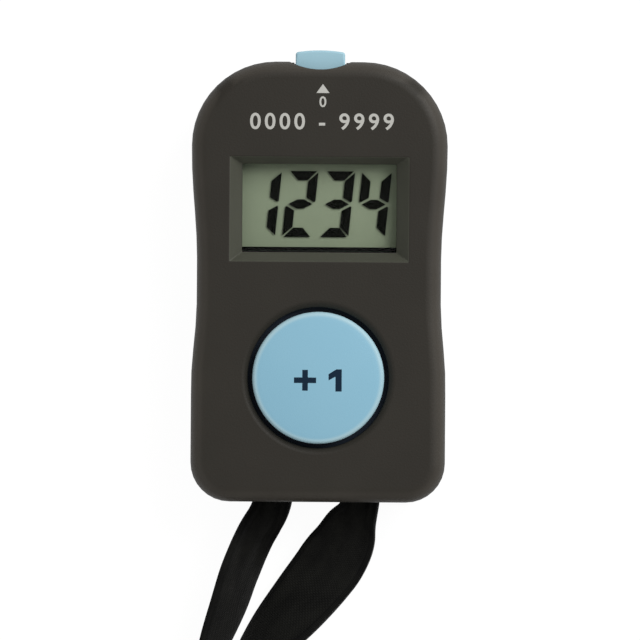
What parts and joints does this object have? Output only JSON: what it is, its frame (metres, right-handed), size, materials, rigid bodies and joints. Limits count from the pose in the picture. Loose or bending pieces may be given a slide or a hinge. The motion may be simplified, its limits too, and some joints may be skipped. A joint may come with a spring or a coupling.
{
  "type": "electronic tally counter",
  "caption": "Pocket electronic tally counter: waisted moulded case with a digit display, a round count button, a reset button in the top edge and a ribbon lanyard.",
  "frame": {"origin": "middle of the flat back on which the counter lies", "axes": "+X across the face to the right, +Y up the face towards the reset button, +Z out of the face"},
  "size_m": [0.041, 0.198, 0.0164],
  "materials": {
    "case_plastic": "fine moulded texture, dark warm grey",
    "button_plastic": "satin light blue",
    "clear_window": "clear, polished",
    "display_film": "grey-green film",
    "display_glass": "clear plate glass",
    "holder_plastic": "moulded, black",
    "black_rubber": "matt",
    "silicone": "translucent, matt",
    "board_laminate": "green lacquer",
    "resin": "glossy drop",
    "steel": "plain bright steel",
    "chip_ceramic": "fired ceramic",
    "contact_metal": "gold-plated spring brass",
    "switch_plastic": "moulded black",
    "plunger_plastic": "moulded white",
    "ribbon": "close woven black ribbon"
  },
  "bodies": {
    "case": {"front_shell": "case_plastic", "rear_shell": "case_plastic", "window_lens": "clear_window", "lcd_polariser": "display_film", "lcd_front_glass": "display_glass", "lcd_rear_glass": "display_glass", "lcd_reflector": "display_film", "lcd_holder": "holder_plastic", "zebra_strip": "black_rubber", "circuit_board": "board_laminate", "chip_blob": "resin", "crystal": "steel", "chip_parts": "chip_ceramic", "contact_pads": "black_rubber", "count_dome": "silicone", "reset_switch": "switch_plastic", "button_cell": "steel", "cell_contact_minus": "contact_metal", "cell_contact_plus": "contact_metal", "case_screws": "steel", "board_screws": "steel", "lanyard_pin": "steel", "lanyard_eyes": "ribbon", "lanyard_left": "ribbon", "lanyard_right": "ribbon", "lanyard_hank": "ribbon", "lanyard_tie": "ribbon"},
    "count_button": {"count_button": "button_plastic", "carbon_pill": "black_rubber"},
    "reset_button": {"reset_button": "button_plastic", "switch_plunger": "plunger_plastic"},
    "battery_door": {"battery_door": "case_plastic"}
  },
  "joints": [
    {"name": "count_press", "type": "slide", "parent": "case", "child": "count_button", "axis": [0, 0, -1], "range_m": [0, 0.0012], "stiffness_N_per_m": 600, "deforming": ["count_dome"]},
    {"name": "reset_press", "type": "slide", "parent": "case", "child": "reset_button", "axis": [0, -1, 0], "range_m": [0, 0.0008], "stiffness_N_per_m": 800},
    {"name": "door_turn", "type": "hinge", "parent": "case", "child": "battery_door", "pos_m": [0, 0.012, 0.0008], "axis": [0, 0, 1], "range_deg": [0, 45]}
  ]
}
